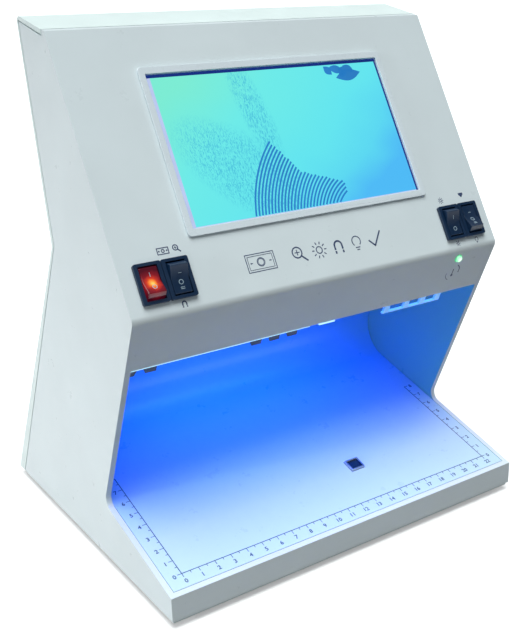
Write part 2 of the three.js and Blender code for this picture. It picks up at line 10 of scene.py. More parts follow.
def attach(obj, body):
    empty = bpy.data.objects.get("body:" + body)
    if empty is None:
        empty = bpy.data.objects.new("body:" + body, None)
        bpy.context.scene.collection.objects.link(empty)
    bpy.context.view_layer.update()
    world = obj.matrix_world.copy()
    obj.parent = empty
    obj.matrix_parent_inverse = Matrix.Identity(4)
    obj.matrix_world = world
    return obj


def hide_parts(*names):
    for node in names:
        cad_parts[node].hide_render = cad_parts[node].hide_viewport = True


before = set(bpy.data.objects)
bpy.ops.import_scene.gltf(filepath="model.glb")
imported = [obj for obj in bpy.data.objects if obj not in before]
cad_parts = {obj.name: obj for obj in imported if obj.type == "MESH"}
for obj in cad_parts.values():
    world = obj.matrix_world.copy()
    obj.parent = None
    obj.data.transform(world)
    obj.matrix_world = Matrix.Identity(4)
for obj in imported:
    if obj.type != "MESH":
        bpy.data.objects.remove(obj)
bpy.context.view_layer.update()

# ---------- dimensions, in millimetres ----------
MM = 0.001
DEPTH = 215.0
FEET = 3.3
LIP_TOP = (0.0, 15.8)
THROAT = (74.8, 37.5)
CHIN = (22.0, 158.2)
TOP_FRONT = (99.4, 290.0)
SCREEN_WIDTH = 153.4
SCREEN_HEIGHT = 85.0
SCREEN_UP = 83.3
SWITCH_UP = 17.45
PIVOT_HEIGHT = -0.7
CREASE_ABOVE_PIVOT = 3.05
ROCKER_SWING = math.radians(13.5)
# x of each rocker, and which way it is tipped at rest
SWITCHES = {"power": (-107.8, -1), "magnetic": (-92.6, 1), "infrared": (92.6, 1), "light": (107.8, -1)}
INK_HEIGHT = 0.06
UV_BLUE = (0.004, 0.085, 1.0)
EDGE_BLUE = (0.25, 0.62, 1.0)
DAYLIGHT = (0.98, 1.0, 1.0)


# ---------- places ----------
def row_point(x, y, z):
    """A design point (y from the front lip, z from the base plate) in the row frame, in metres."""
    return Vector((x * MM, (y - DEPTH / 2) * MM, (z + FEET) * MM))


def plane(start, end, origin=None):
    """Local millimetres (across, from start towards end, outwards) to the row frame."""
    along = Vector((0, end[0] - start[0], end[1] - start[1])).normalized()
    across = Vector((1, 0, 0))
    out = across.cross(along)
    turn = Matrix((across, along, out)).transposed().to_4x4()
    return Matrix.Translation(row_point(0, *(origin or start))) @ turn @ Matrix.Scale(MM, 4)


PANEL = plane(CHIN, TOP_FRONT)
FASCIA = plane(THROAT, CHIN, CHIN)
DECK = plane(LIP_TOP, THROAT)


# ---------- node helpers ----------
def new_material(name):
    material = bpy.data.materials.new(name)
    material.use_nodes = True
    shader = material.node_tree.nodes["Principled BSDF"]
    return material, material.node_tree, shader


def put(tree, kind, links=(), **values):
    """Adds a node, sets its properties and inputs, and links its inputs."""
    node = tree.nodes.new(kind)
    for key, value in values.items():
        if hasattr(node, key):
            setattr(node, key, value)
        else:
            node.inputs[key.replace("_", " ")].default_value = value
    for socket, source in links:
        tree.links.new(source, node.inputs[socket])
    return node


def ramp(tree, factor, *stops):
    """A colour ramp through (position, colour) stops."""
    node = put(tree, "ShaderNodeValToRGB", [("Fac", factor)])
    points = node.color_ramp.elements
    while len(points) < len(stops):
        points.new(1.0)
    for point, (position, colour) in zip(points, stops):
        point.position = position
        point.color = (*colour, 1.0)
    return node.outputs["Color"]


def object_place(tree):
    """A point's place on the object, as X, Y and Z sockets in metres."""
    where = put(tree, "ShaderNodeTexCoord").outputs["Object"]
    return put(tree, "ShaderNodeSeparateXYZ", [("Vector", where)]).outputs


def object_noise(tree, scale, detail=3.0, roughness=0.5):
    where = put(tree, "ShaderNodeTexCoord").outputs["Object"]
    looks = {"Scale": scale, "Detail": detail, "Roughness": roughness}
    return put(tree, "ShaderNodeTexNoise", [("Vector", where)], **looks)


def add_bump(tree, shader, height, strength, distance):
    bump = put(tree, "ShaderNodeBump", [("Height", height)], Strength=strength, Distance=distance)
    tree.links.new(bump.outputs["Normal"], shader.inputs["Normal"])


def darker(colour, share):
    return tuple(c * share for c in colour)


# ---------- materials ----------
def moulded(name, colour, roughness, grain=0.00004, coat=0.0):
    """Moulded plastic: a faint cloudy tint, spark-eroded grain and small scuffs in the gloss."""
    material, tree, shader = new_material(name)
    cloud = object_noise(tree, 26.0, 4.0)
    tint = ramp(tree, cloud.outputs["Fac"], (0.35, darker(colour, 0.965)), (0.65, colour))
    tree.links.new(tint, shader.inputs["Base Color"])
    scuffs = object_noise(tree, 90.0, 6.0, 0.7)
    low, high = (max(roughness - 0.07, 0.02),) * 3, (roughness + 0.08,) * 3
    gloss = ramp(tree, scuffs.outputs["Fac"], (0.3, low), (0.7, high))
    tree.links.new(gloss, shader.inputs["Roughness"])
    fine = object_noise(tree, 2600.0, 2.0)
    add_bump(tree, shader, fine.outputs["Fac"], 0.35, grain)
    shader.inputs["Coat Weight"].default_value = coat
    return material


def shell_plastic():
    """Moulded plastic, with painted blue UV lamp light on the inner faces of the side walls, round the
    viewing chamber.
    """
    colour = (0.75, 0.84, 0.87)
    material = moulded("shell_plastic", colour, 0.33)
    tree = material.node_tree
    shader = tree.nodes["Principled BSDF"]
    # Painted light: faces that look inwards across the chamber are mixed towards a deep blue-green that
    # stands in for the blue UV lamp light falling on the inner side walls.
    normal = put(tree, "ShaderNodeNewGeometry").outputs["Normal"]
    facing = put(tree, "ShaderNodeSeparateXYZ", [("Vector", normal)])
    sides = [(0, object_place(tree)["X"]), (1, facing.outputs["X"])]
    inwards = put(tree, "ShaderNodeMath", sides, operation="MULTIPLY")
    inner = put(tree, "ShaderNodeMapRange", [("Value", inwards.outputs[0])], From_Min=-0.06, From_Max=-0.10)
    mix = put(tree, "ShaderNodeMix", [(0, inner.outputs["Result"])], data_type="RGBA")
    tree.links.new(shader.inputs["Base Color"].links[0].from_socket, mix.inputs[6])
    mix.inputs[7].default_value = (0.15, 0.52, 0.50, 1)
    tree.links.new(mix.outputs[2], shader.inputs["Base Color"])
    return material


def deck_plastic():
    """Moulded sheet, near-white at the front lip, with painted blue UV lamp light that deepens towards the
    back wall.
    """
    material = moulded("deck_plastic", (0.60, 0.80, 0.95), 0.32, grain=0.00002)
    tree = material.node_tree
    # Painted light: the base colour runs from pale blue at the front to deep blue at the back, standing in
    # for the blue UV lamp light inside the chamber.
    along = object_place(tree)["Y"]
    depth = put(tree, "ShaderNodeMapRange", [("Value", along)], From_Min=-0.07, From_Max=0.02)
    shade = ramp(tree, depth.outputs["Result"], (0.0, (0.60, 0.80, 0.95)), (1.0, (0.12, 0.50, 0.90)))
    tree.links.new(shade, tree.nodes["Principled BSDF"].inputs["Base Color"])
    return material


def shield_plastic():
    """Dark moulded strip with a painted blue glow at its right end, standing in for the UV lamp light behind
    the comb.
    """
    material = moulded("shield_plastic", (0.010, 0.035, 0.09), 0.35)
    tree = material.node_tree
    shader = tree.nodes["Principled BSDF"]
    # Painted light: emission rising from none to blue past x 60 to 75 mm; the strip itself is no lamp.
    across = object_place(tree)["X"]
    right = put(tree, "ShaderNodeMapRange", [("Value", across)], From_Min=0.060, From_Max=0.075)
    glow = ramp(tree, right.outputs["Result"], (0.0, (0, 0, 0)), (1.0, (0.03, 0.15, 0.60)))
    tree.links.new(glow, shader.inputs["Emission Color"])
    shader.inputs["Emission Strength"].default_value = 1.0
    return material


def metal(name, colour, roughness, streak):
    """Brushed or plated metal: fine scratches along X."""
    material, tree, shader = new_material(name)
    where = put(tree, "ShaderNodeTexCoord").outputs["Object"]
    squeezed = put(tree, "ShaderNodeMapping", [("Vector", where)], Scale=(40.0, 1800.0, 1800.0))
    squashed = squeezed.outputs["Vector"]
    scratches = put(tree, "ShaderNodeTexNoise", [("Vector", squashed)], Scale=1.0, Detail=4.0)
    shade = ramp(tree, scratches.outputs["Fac"], (0.3, darker(colour, 0.86)), (0.7, colour))
    tree.links.new(shade, shader.inputs["Base Color"])
    shader.inputs["Metallic"].default_value = 1.0
    shader.inputs["Roughness"].default_value = roughness
    add_bump(tree, shader, scratches.outputs["Fac"], streak, 0.00003)
    return material


def rubber_material():
    material, tree, shader = new_material("foot_rubber")
    dust = object_noise(tree, 700.0, 5.0, 0.7)
    shade = ramp(tree, dust.outputs["Fac"], (0.4, (0.012, 0.012, 0.013)), (0.75, (0.05, 0.05, 0.052)))
    tree.links.new(shade, shader.inputs["Base Color"])
    shader.inputs["Roughness"].default_value = 0.85
    add_bump(tree, shader, dust.outputs["Fac"], 0.6, 0.0002)
    return material


def board_material():
    """Green circuit board: square tracks under the lacquer and pale solder dots."""
    material, tree, shader = new_material("circuit_board")
    where = put(tree, "ShaderNodeTexCoord").outputs["Object"]
    tracks = put(tree, "ShaderNodeTexBrick", [("Vector", where)], Scale=160.0, Mortar_Size=0.06)
    tracks.inputs["Color1"].default_value = (0.01, 0.10, 0.035, 1)
    tracks.inputs["Color2"].default_value = (0.015, 0.13, 0.045, 1)
    tracks.inputs["Mortar"].default_value = (0.05, 0.24, 0.08, 1)
    cells = put(tree, "ShaderNodeTexVoronoi", [("Vector", where)], Scale=420.0)
    solder = ramp(tree, cells.outputs["Distance"], (0.10, (1, 1, 1)), (0.14, (0, 0, 0)))
    mix = put(tree, "ShaderNodeMix", data_type="RGBA")
    tree.links.new(solder, mix.inputs[0])
    tree.links.new(tracks.outputs["Color"], mix.inputs[6])
    mix.inputs[7].default_value = (0.55, 0.56, 0.55, 1)
    tree.links.new(mix.outputs[2], shader.inputs["Base Color"])
    shader.inputs["Roughness"].default_value = 0.35
    return material


def glowing(name, colour, light, strength, roughness=0.2):
    """Lit plastic or glass whose glow is a little uneven."""
    material, tree, shader = new_material(name)
    cloud = object_noise(tree, 60.0, 2.0)
    shade = ramp(tree, cloud.outputs["Fac"], (0.3, darker(light, 0.85)), (0.7, light))
    tree.links.new(shade, shader.inputs["Emission Color"])
    shader.inputs["Base Color"].default_value = (*colour, 1)
    shader.inputs["Emission Strength"].default_value = strength
    shader.inputs["Roughness"].default_value = roughness
    return material


def ink_material(name, colour):
    """Screen-printed ink, slightly worn."""
    material, tree, shader = new_material(name)
    wear = object_noise(tree, 1500.0, 3.0)
    shade = ramp(tree, wear.outputs["Fac"], (0.35, colour), (0.8, tuple(c * 0.75 + 0.1 for c in colour)))
    tree.links.new(shade, shader.inputs["Base Color"])
    shader.inputs["Roughness"].default_value = 0.5
    return material


SHELL = shell_plastic()
COVER = moulded("cover_plastic", (0.82, 0.94, 0.93), 0.36)
BEZEL = moulded("bezel_plastic", (0.75, 0.84, 0.89), 0.28)
DECK_PLASTIC = deck_plastic()
BLACK = moulded("black_plastic", (0.006, 0.018, 0.035), 0.30, coat=0.1)
NAVY = moulded("switch_plastic", (0.002, 0.020, 0.060), 0.38)
TOOTH = shield_plastic()
CHROME = metal("chrome_plate", (0.82, 0.83, 0.85), 0.12, 0.05)
STEEL = metal("screw_steel", (0.62, 0.63, 0.65), 0.3, 0.2)
ALUMINIUM = metal("reflector_aluminium", (0.78, 0.79, 0.80), 0.3, 0.3)
RUBBER = rubber_material()
BOARD = board_material()
UV_GLASS = glowing("uv_tube_glass", (0.2, 0.25, 0.6), (0.02, 0.10, 1.0), 1.0)
EDGE_GLOW = glowing("edge_light_glow", (0.5, 0.8, 1.0), (0.46, 0.82, 1.0), 1.15)
# Painted light: the glowing comb on the right inner wall stands in for the toothed streak of UV lamp light
# falling on that wall; it is no lamp.
PAINTED_COMB_LIGHT = glowing("painted_comb_light", (0.1, 0.3, 0.6), (0.13, 0.40, 0.90), 0.75)
INK = ink_material("printed_ink", (0.012, 0.04, 0.13))
RULER_INK = ink_material("ruler_ink", (0.015, 0.085, 0.22))
PALE_INK = ink_material("pale_ink", (0.36, 0.50, 0.60))


def spot_glow(name, centre, stops, roughness=0.15):
    """Lit plastic whose glow fades with the distance in millimetres from a lamp behind it."""
    material, tree, shader = new_material(name)
    where = put(tree, "ShaderNodeTexCoord").outputs["Object"]
    shift = put(tree, "ShaderNodeVectorMath", [("Vector", where)], operation="SUBTRACT")
    shift.inputs[1].default_value = centre
    reach = put(tree, "ShaderNodeVectorMath", [("Vector", shift.outputs["Vector"])], operation="LENGTH")
    wobble = object_noise(tree, 300.0, 2.0)
    blur = put(tree, "ShaderNodeMath", [(0, wobble.outputs["Fac"])], operation="MULTIPLY")
    blur.inputs[1].default_value = 0.0025
    terms = [(0, reach.outputs["Value"]), (1, blur.outputs["Value"])]
    spread = put(tree, "ShaderNodeMath", terms, operation="ADD")
    far = stops[-1][0]
    level = put(tree, "ShaderNodeMapRange", [("Value", spread.outputs["Value"])], From_Max=far * MM)
    shade = ramp(tree, level.outputs["Result"], *[(distance / far, colour) for distance, colour in stops])
    tree.links.new(shade, shader.inputs["Emission Color"])
    shader.inputs["Emission Strength"].default_value = 1.0
    shader.inputs["Base Color"].default_value = (*stops[-1][1], 1)
    shader.inputs["Roughness"].default_value = roughness
    return material


def panel_point(x, up, out):
    return PANEL @ Vector((x, up, out))


RED_GLOW = spot_glow("power_lens", panel_point(-107.9, 16.6, 2.4), [
    (1.8, (1.0, 0.68, 0.14)), (3.0, (1.0, 0.28, 0.03)), (4.3, (0.60, 0.04, 0.012)),
    (6.2, (0.20, 0.006, 0.010)), (9.0, (0.04, 0.001, 0.006))])
LED_GLOW = spot_glow("status_led_glow", FASCIA @ Vector((94.1, -6.5, 1.2)), [
    (2.2, (0.85, 1.0, 0.90)), (3.2, (0.45, 1.0, 0.62)), (4.0, (0.05, 0.50, 0.20)), (6.0, (0.02, 0.3, 0.1))])


# ---------- mesh helpers ----------
def smoothing_group():
    """Geometry nodes that smooth every face and keep edges over 40 degrees sharp."""
    group = bpy.data.node_groups.new("smooth_by_angle", "GeometryNodeTree")
    group.interface.new_socket("Geometry", in_out="INPUT", socket_type="NodeSocketGeometry")
    group.interface.new_socket("Geometry", in_out="OUTPUT", socket_type="NodeSocketGeometry")
    start = group.nodes.new("NodeGroupInput")
    end = group.nodes.new("NodeGroupOutput")
    angle = group.nodes.new("GeometryNodeInputMeshEdgeAngle")
    below = group.nodes.new("FunctionNodeCompare")
    below.operation = "LESS_THAN"
    below.inputs["B"].default_value = math.radians(40)
    faces = group.nodes.new("GeometryNodeSetShadeSmooth")
    edges = group.nodes.new("GeometryNodeSetShadeSmooth")
    edges.domain = "EDGE"
    group.links.new(angle.outputs["Unsigned Angle"], below.inputs["A"])
    group.links.new(start.outputs[0], faces.inputs["Geometry"])
    group.links.new(faces.outputs["Geometry"], edges.inputs["Geometry"])
    group.links.new(below.outputs["Result"], edges.inputs["Shade Smooth"])
    group.links.new(edges.outputs["Geometry"], end.inputs[0])
    return group


SMOOTHING = smoothing_group()


def soften(obj, radius, segments=3, limit=34):
    """Rounds the sharp edges by a radius in millimetres and shades the faces smoothly."""
    if radius:
        bevel = obj.modifiers.new("rounded_edges", "BEVEL")
        bevel.width = radius * MM
        bevel.segments = segments
        bevel.angle_limit = math.radians(limit)
        bevel.use_clamp_overlap = True
    smooth = obj.modifiers.new("smooth_faces", "NODES")
    smooth.node_group = SMOOTHING
    normals = obj.modifiers.new("even_normals", "WEIGHTED_NORMAL")
    normals.keep_sharp = True


def dress(node, material, radius=0.0, segments=2):
    """Gives a CAD node its material, and rounds its edges by a radius in millimetres."""
    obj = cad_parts[node]
    obj.data.materials.clear()
    obj.data.materials.append(material)
    weld = obj.modifiers.new("weld", "WELD")
    weld.merge_threshold = 0.005 * MM
    flat = obj.modifiers.new("whole_faces", "DECIMATE")
    flat.decimate_type = "DISSOLVE"
    flat.angle_limit = math.radians(0.4)
    soften(obj, radius, segments)


def new_piece(name, mesh, materials, body="housing"):
    """Links a mesh that is already in the row frame as a piece that rides on a body."""
    obj = bpy.data.objects.new(name, mesh)
    bpy.context.scene.collection.objects.link(obj)
    for material in materials:
        mesh.materials.append(material)
    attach(obj, body)
    return obj


# ---------- flat printed shapes, in the local millimetres of a plane ----------
class Print:
    """Collects thin flat outlines and turns them into one piece of ink."""

    def __init__(self, name, place, material, height=INK_HEIGHT, lift=0.0, body="housing"):
        self.name, self.place, self.material = name, place, material
        self.height, self.lift, self.body = height, lift, body
        self.mesh = bmesh.new()

    def outline(self, points):
        """A filled outline with no holes."""
        lower = [self.mesh.verts.new((x, y, self.lift)) for x, y in points]
        face = self.mesh.faces.new(lower)
        raised = bmesh.ops.extrude_face_region(self.mesh, geom=[face])
        moved = [v for v in raised["geom"] if isinstance(v, bmesh.types.BMVert)]
        bmesh.ops.translate(self.mesh, verts=moved, vec=(0, 0, self.height))

    def line(self, start, end, width):
        a, b = Vector(start), Vector(end)
        side = (b - a).normalized()
        side = Vector((-side.y, side.x)) * width / 2
        self.outline([a - side, b - side, b + side, a + side])

    def path(self, points, width, closed=False):
        pairs = list(zip(points, points[1:]))
        if closed:
            pairs.append((points[-1], points[0]))
        for start, end in pairs:
            reach = (Vector(end) - Vector(start)).normalized() * width * 0.35
            self.line(Vector(start) - reach, Vector(end) + reach, width)

    def ring(self, x, y, radius, width, start=0, end=360, steps=20):
        inner, outer = radius - width / 2, radius + width / 2
        angles = [math.radians(start + (end - start) * i / steps) for i in range(steps + 1)]
        for a, b in zip(angles, angles[1:]):
            self.outline([(x + inner * math.cos(a), y + inner * math.sin(a)),
                          (x + outer * math.cos(a), y + outer * math.sin(a)),
                          (x + outer * math.cos(b), y + outer * math.sin(b)),
                          (x + inner * math.cos(b), y + inner * math.sin(b))])

    def dot(self, x, y, radius, steps=16):
        self.outline([(x + radius * math.cos(2 * math.pi * i / steps),
                       y + radius * math.sin(2 * math.pi * i / steps)) for i in range(steps)])

    def digits(self, text, x, y, size, weight=0.09):
        """Plain numerals, centred on a point; the weight thickens their strokes."""
        curve = bpy.data.curves.new("numeral", "FONT")
        curve.body = text
        curve.size = size
        curve.align_x = "CENTER"
        curve.align_y = "CENTER"
        curve.extrude = self.height / 2
        curve.offset = weight
        curve.resolution_u = 3
        holder = bpy.data.objects.new("numeral", curve)
        mesh = bpy.data.meshes.new_from_object(holder)
        mesh.transform(Matrix.Translation((x, y, self.lift + self.height / 2)))
        self.mesh.from_mesh(mesh)
        bpy.data.objects.remove(holder)
        bpy.data.curves.remove(curve)
        bpy.data.meshes.remove(mesh)

    def done(self):
        bmesh.ops.recalc_face_normals(self.mesh, faces=self.mesh.faces)
        mesh = bpy.data.meshes.new(self.name)
        self.mesh.to_mesh(mesh)
        self.mesh.free()
        mesh.transform(self.place)
        return new_piece(self.name, mesh, [self.material], self.body)


# ---------- carried-over CAD nodes ----------
DRESSES = {
    SHELL: (0.8, ["front_shell"]),
    COVER: (0.25, ["rear_cover", "base_plate", "lamp_holder_left", "lamp_holder_right", "display_ribbon"]),
    BEZEL: (0.35, ["display_bezel"]),
    DECK_PLASTIC: (0.1, ["deck_sheet"]),
    BLACK: (0.35, ["camera_lens", "buzzer", "power_transformer", "mains_inlet"]),
    NAVY: (0.35, ["magnetic_head_core"]),
    TOOTH: (0.0, ["light_shield"]),
    CHROME: (0.3, ["magnetic_head_case"]),
    ALUMINIUM: (0.2, ["lamp_reflector", "display_bracket"]),
    BOARD: (0.1, ["deck_backlight", "infrared_led_board_left", "infrared_led_board_right", "white_led_strip",
                  "camera_board", "display_board", "main_board", "power_board", "uv_ballast"]),
    UV_GLASS: (0.0, ["uv_lamp_front", "uv_lamp_rear"]),
    EDGE_GLOW: (0.0, ["edge_light_left"]),
    PAINTED_COMB_LIGHT: (0.0, ["edge_light_right"]),
}


def dress_frame():
    for material, (radius, names) in DRESSES.items():
        for name in names:
            dress(name, material, radius)
    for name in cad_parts:
        if "screw" in name:
            dress(name, STEEL, 0.15)
        elif name.startswith("foot_"):
            dress(name, RUBBER, 0.4)
        elif name.endswith("_switch_housing"):
            dress(name, NAVY, 0.35)
        elif name.endswith("_rocker"):
            dress(name, RED_GLOW if name.startswith("power") else NAVY, 0.45, 3)
    dress("display_panel", BLACK, 0.2)
    dress("status_led", LED_GLOW)


# ---------- deck ruler ----------
def deck_ruler():
    ink = Print("deck_ruler", DECK, RULER_INK)
    front, side, reach = 12.8, 110.0, 80
    rule, tick, size = 0.5, 0.36, 3.8
    ink.line((-side, front), (side, front), rule)
    for mark in range(0, 221, 5):
        length = 2.6 if mark % 10 == 0 else 1.5
        ink.line((-side + mark, front), (-side + mark, front - length), tick)
    for number in range(23):
        ink.digits(str(number), -side + number * 10, front - 5.4, size)
    for way in (-1, 1):
        ink.line((way * side, front), (way * side, front + reach), rule)
        for mark in range(0, reach + 1, 5):
            length = 2.6 if mark % 10 == 0 else 1.5
            ink.line((way * side, front + mark), (way * (side + length), front + mark), tick)
        for number in range(reach // 10 + 1):
            ink.digits(str(number), way * (side + 4.6), front - 0.8 + number * 10, size)
    return ink.done()


# ---------- printed pictograms ----------
def magnifier(ink, x, y, size, weight=1.0):
    thin, thick = 0.08 * size * weight, 0.15 * size * weight
    ink.ring(x - 0.1 * size, y + 0.1 * size, 0.3 * size, 0.12 * size * weight)
    ink.line((x - 0.26 * size, y + 0.1 * size), (x + 0.06 * size, y + 0.1 * size), thin)
    ink.line((x - 0.1 * size, y - 0.06 * size), (x - 0.1 * size, y + 0.26 * size), thin)
    ink.line((x + 0.12 * size, y - 0.12 * size), (x + 0.46 * size, y - 0.44 * size), thick)


def sun(ink, x, y, size, rays=8, weight=1.0):
    width = 0.1 * size * weight
    ink.ring(x, y, 0.2 * size, width)
    for i in range(rays):
        turn = 2 * math.pi * i / rays
        way = Vector((math.cos(turn), math.sin(turn))) * size
        ink.line(Vector((x, y)) + way * 0.34, Vector((x, y)) + way * 0.5, width)


def magnet(ink, x, y, size, weight=1.0):
    width = 0.18 * size * weight
    ink.ring(x, y + 0.05 * size, 0.26 * size, width, 0, 180, 10)
    for way in (-1, 1):
        ink.line((x + way * 0.26 * size, y + 0.05 * size), (x + way * 0.26 * size, y - 0.2 * size), width)
        ink.line((x + way * 0.26 * size, y - 0.26 * size), (x + way * 0.26 * size, y - 0.42 * size), width)


def banknote(ink, x, y, width, height, line):
    corners = [(x - width / 2, y - height / 2), (x + width / 2, y - height / 2),
               (x + width / 2, y + height / 2), (x - width / 2, y + height / 2)]
    ink.path(corners, line, closed=True)
    ink.ring(x, y, height * 0.24, line)
    for way in (-1, 1):
        ink.dot(x + way * width * 0.35, y, line * 0.9)


def arrow_down(ink, x, y, size):
    ink.outline([(x - 0.5 * size, y + 0.35 * size), (x - 0.5 * size, y + 0.05 * size), (x, y - 0.45 * size),
                 (x + 0.5 * size, y + 0.05 * size), (x + 0.5 * size, y + 0.35 * size)])


def bulb(ink, x, y, size, weight=1.0):
    width = 0.1 * size * weight
    ink.ring(x, y + 0.08 * size, 0.3 * size, width, -50, 230, 14)
    ink.line((x - 0.16 * size, y - 0.3 * size), (x + 0.16 * size, y - 0.3 * size), width)
    ink.line((x - 0.1 * size, y - 0.44 * size), (x + 0.1 * size, y - 0.44 * size), width)


def panel_prints():
    ink = Print("panel_prints", PANEL, INK)
    banknote(ink, -96.2, 32.6, 6.2, 3.2, 0.5)
    magnifier(ink, -88.6, 32.8, 4.6)
    magnet(ink, -93.2, 4.3, 4.2)
    sun(ink, 90.6, 32.0, 4.0)
    arrow_down(ink, 107.6, 33.4, 3.6)
    sun(ink, 93.0, 4.3, 3.8, 6)
    bulb(ink, 108.4, 4.3, 4.0)
    return ink.done()


def panel_emblem():
    """A plain generic row of outlined signs: banknote, magnifier, lamp, magnet and tick."""
    ink = Print("panel_emblem", PANEL, INK)
    middle = 17.3
    banknote(ink, -43.4, middle, 17.5, 9.6, 0.45)
    banknote(ink, -43.4, middle, 15.2, 7.3, 0.3)
    weight = 0.6
    magnifier(ink, -19.0, middle, 10.0, weight)
    sun(ink, -5.5, middle, 9.6, 10, weight)
    magnet(ink, 7.6, middle, 9.6, weight)
    bulb(ink, 20.4, middle, 9.6, weight)
    ink.path([(29.2, middle - 0.4), (32.6, middle - 3.8), (38.4, middle + 4.0)], 0.9)
    return ink.done()


def fascia_sign():
    """A bar between two arcs: the sign of the magnetic head's signal."""
    ink = Print("fascia_sign", FASCIA, INK)
    ink.line((93.6, -14.4), (93.6, -18.6), 0.6)
    ink.dot(93.6, -19.2, 0.9)
    ink.ring(93.8, -16.2, 4.8, 0.6, -20, 62, 10)
    ink.ring(93.4, -17.8, 4.8, 0.3, 170, 245, 10)
    return ink.done()


# ---------- rocker marks ----------
def rocker_face(name, half):
    """The plane of a rocker's upper (1) or lower (-1) face, with its origin at the middle crease."""
    x, way = SWITCHES[name]
    pivot = Matrix.Translation((x, SWITCH_UP, PIVOT_HEIGHT)) @ Matrix.Rotation(way * ROCKER_SWING, 4, "X")
    crease = Matrix.Translation((0, 0, CREASE_ABOVE_PIVOT))
    return PANEL @ pivot @ crease @ Matrix.Rotation(half * ROCKER_SWING, 4, "X")


def rocker_mark(name, half, draw):
    side = "upper" if half > 0 else "lower"
    ink = Print(f"{name}_mark_{side}", rocker_face(name, half), PALE_INK, 0.08, 0.0, f"{name}_rocker_body")
    draw(ink)
    return ink.done()


def rocker_marks():
    width = 0.3

    def upright(ink):
        ink.line((0, 2.4), (0, 4.6), width)

    def ring_low(ink):
        ink.ring(0, -3.6, 1.15, width)

    def dash(ink):
        ink.line((-0.9, 3.0), (0.9, 3.0), width)

    def ring_and_bars(ink):
        ink.ring(0, -1.7, 1.15, width)
        ink.line((-1.1, -4.4), (1.1, -4.4), width)
        ink.line((-1.1, -5.2), (1.1, -5.2), width)

    for name in ("power", "infrared"):
        rocker_mark(name, 1, upright)
        rocker_mark(name, -1, ring_low)
    for name in ("magnetic", "light"):
        rocker_mark(name, 1, dash)
        rocker_mark(name, -1, ring_and_bars)


# ---------- lit screen ----------
def picture_material():
    """A generic engraving in mint and blue light: hatched clouds on a soft gradient, with no face or text."""
    material, tree, shader = new_material("screen_picture")
    where = put(tree, "ShaderNodeUVMap", uv_map="picture").outputs["UV"]
    parts = put(tree, "ShaderNodeSeparateXYZ", [("Vector", where)])
    slope = put(tree, "ShaderNodeMath", [(0, parts.outputs["X"])], operation="MULTIPLY")
    slope.inputs[1].default_value = 0.72
    fall = put(tree, "ShaderNodeMath", [(0, parts.outputs["Y"])], operation="MULTIPLY_ADD")
    fall.inputs[1].default_value = -0.5
    fall.inputs[2].default_value = 0.34
    cloud = put(tree, "ShaderNodeTexNoise", [("Vector", where)], Scale=2.2, Detail=2.0)
    drift = put(tree, "ShaderNodeMath", [(0, cloud.outputs["Fac"])], operation="MULTIPLY")
    drift.inputs[1].default_value = 0.22
    total = put(tree, "ShaderNodeMath", [(0, slope.outputs[0]), (1, fall.outputs[0])], operation="ADD")
    level = put(tree, "ShaderNodeMath", [(0, total.outputs[0]), (1, drift.outputs[0])], operation="ADD")
    glow = ramp(tree, level.outputs[0], (0.05, (0.20, 0.86, 0.66)), (0.32, (0.15, 0.85, 0.82)),
                (0.68, (0.12, 0.80, 0.88)), (0.86, (0.10, 0.70, 0.90)), (1.0, (0.07, 0.50, 0.94)))
    grain = put(tree, "ShaderNodeMapping", [("Vector", where)], Scale=(210.0, 34.0, 1.0))
    grain.inputs["Rotation"].default_value = (0, 0, math.radians(-38))
    hatch = put(tree, "ShaderNodeTexNoise", [("Vector", grain.outputs["Vector"])], Scale=1.0, Detail=2.0,
                Distortion=1.4)
    lines = ramp(tree, hatch.outputs["Fac"], (0.40, (1, 1, 1)), (0.52, (0, 0, 0)))
    mask = None
    for centre, radii, turn in (((0.27, 0.30), (0.20, 0.50), 26), ((0.375, 0.72), (0.07, 0.44), 6)):
        blob = put(tree, "ShaderNodeMapping", [("Vector", where)], vector_type="TEXTURE")
        blob.inputs["Location"].default_value = (*centre, 0)
        blob.inputs["Rotation"].default_value = (0, 0, math.radians(turn))
        blob.inputs["Scale"].default_value = (radii[0], radii[1], 1)
        inside = blob.outputs["Vector"]
        ball = put(tree, "ShaderNodeTexGradient", [("Vector", inside)], gradient_type="SPHERICAL")
        if mask is None:
            mask = ball
        else:
            pair = [(0, mask.outputs[0]), (1, ball.outputs[0])]
            mask = put(tree, "ShaderNodeMath", pair, operation="MAXIMUM")
    soft = ramp(tree, mask.outputs[0], (0.02, (0, 0, 0)), (0.40, (0.75, 0.75, 0.75)))
    inked = put(tree, "ShaderNodeMath", [(0, lines), (1, soft)], operation="MULTIPLY")
    mix = put(tree, "ShaderNodeMix", data_type="RGBA")
    tree.links.new(inked.outputs[0], mix.inputs[0])
    tree.links.new(glow, mix.inputs[6])
    mix.inputs[7].default_value = (0.05, 0.47, 0.70, 1)
    tree.links.new(mix.outputs[2], shader.inputs["Emission Color"])
    shader.inputs["Emission Strength"].default_value = 0.95
    shader.inputs["Base Color"].default_value = (0.01, 0.02, 0.03, 1)
    shader.inputs["Roughness"].default_value = 0.12
    return material


PICTURE, SHADE_PAINTED_EDGE, HIGHLIGHT_PAINTED_EDGE, CAN = range(4)
GLASS_FRONT = -0.2


